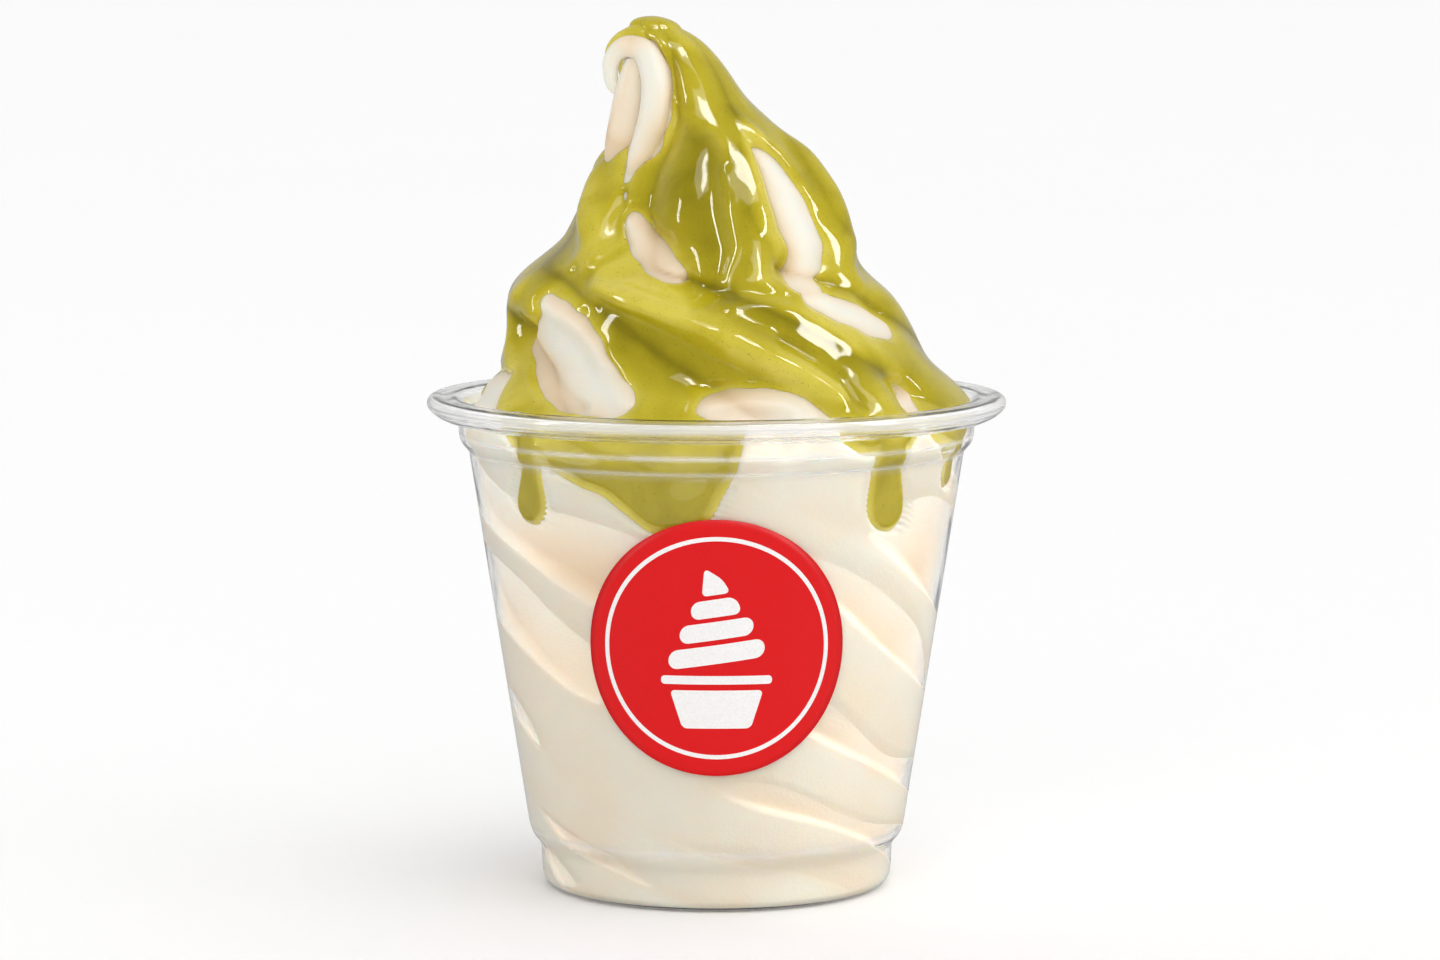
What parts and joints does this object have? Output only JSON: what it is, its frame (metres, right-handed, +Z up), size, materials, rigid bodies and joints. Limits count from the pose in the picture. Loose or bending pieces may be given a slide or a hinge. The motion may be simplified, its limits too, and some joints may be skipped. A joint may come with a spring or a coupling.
{
  "type": "cup of soft-serve ice cream",
  "caption": "Clear plastic dessert cup of twisted vanilla soft-serve ice cream, with pistachio sauce dripping over it and a round red label on the front.",
  "frame": {"origin": "middle of the cup's foot, on the surface it stands on", "axes": "+Z up along the cup's axis, -Y out of the front, where the label is, +X to the right of someone who looks at the front"},
  "size_m": [0.095, 0.095, 0.1424],
  "materials": {
    "clear_plastic": "clear, glossy thermoformed plastic",
    "vanilla_cream": "smooth, soft satin ice cream",
    "pistachio_sauce": "wet, glossy yellow-green sauce with fine specks",
    "label_paper": "smooth coated paper, printed red and white"
  },
  "bodies": {
    "root": {"cup": "clear_plastic", "soft_serve": "vanilla_cream", "pistachio_sauce": "pistachio_sauce", "label": "label_paper"}
  },
  "joints": []
}
